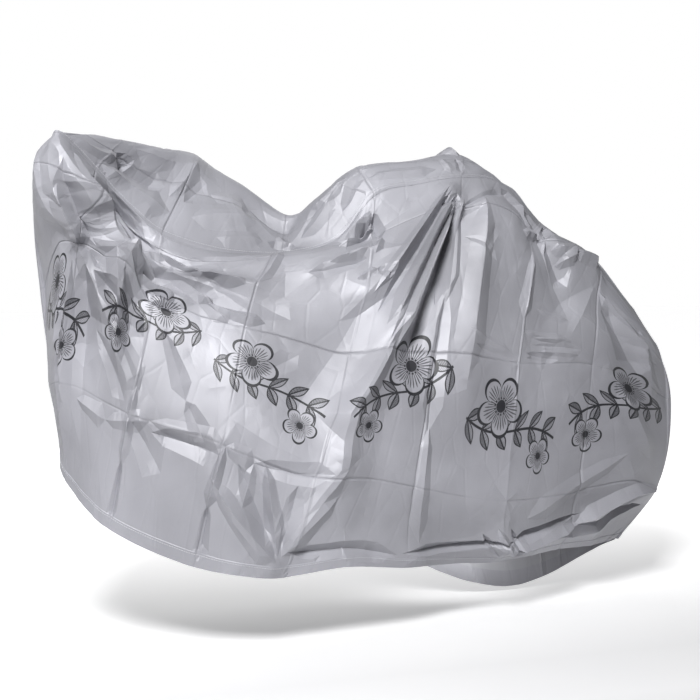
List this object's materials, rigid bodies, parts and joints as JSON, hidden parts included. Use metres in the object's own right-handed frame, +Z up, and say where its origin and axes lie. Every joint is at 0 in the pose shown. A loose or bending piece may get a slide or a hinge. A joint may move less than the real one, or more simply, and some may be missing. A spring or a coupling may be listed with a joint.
{
  "type": "bicycle cover",
  "caption": "Draped bicycle cover of thin silver film, hollow and open below, sewn from two side panels.",
  "frame": {"origin": "the point under the cover's top over the saddle, where what it covers holds it up", "axes": "+Z up; X runs along the bicycle from the handlebar end (-X) to the rear end (+X); -Y is the near side in the picture"},
  "size_m": [1.8268, 0.7123, 1.1884],
  "materials": {
    "silver_film": "satin pearl, dark printed row"
  },
  "bodies": {
    "root": {"panel_near": "silver_film", "panel_far": "silver_film"}
  },
  "joints": []
}
